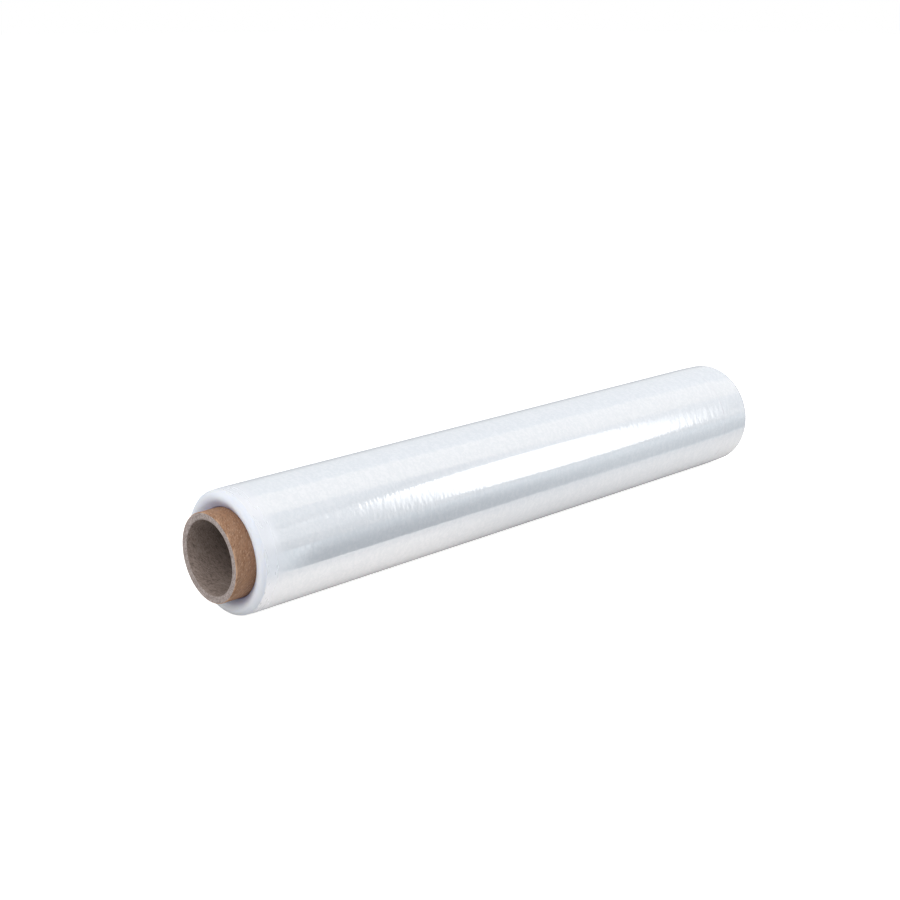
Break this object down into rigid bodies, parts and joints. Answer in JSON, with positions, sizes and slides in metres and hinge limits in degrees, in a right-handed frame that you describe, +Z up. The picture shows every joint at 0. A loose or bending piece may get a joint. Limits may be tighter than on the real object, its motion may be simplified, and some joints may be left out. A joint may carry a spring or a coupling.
{
  "type": "stretch film roll",
  "caption": "Hand roll of clear stretch film wound on a spiral-wound cardboard core that stands out at both ends, lying on its side.",
  "frame": {"origin": "on the floor, under the middle of the roll as it lies on its side", "axes": "+X along the roll's axis, from the near end to the far end; +Z up; +Y level, away from the side that the picture shows"},
  "size_m": [0.526, 0.083, 0.0826],
  "materials": {
    "core_board": "matte",
    "film": "gloss"
  },
  "bodies": {
    "root": {"cardboard_core": "core_board", "stretch_film": "film"}
  },
  "joints": []
}
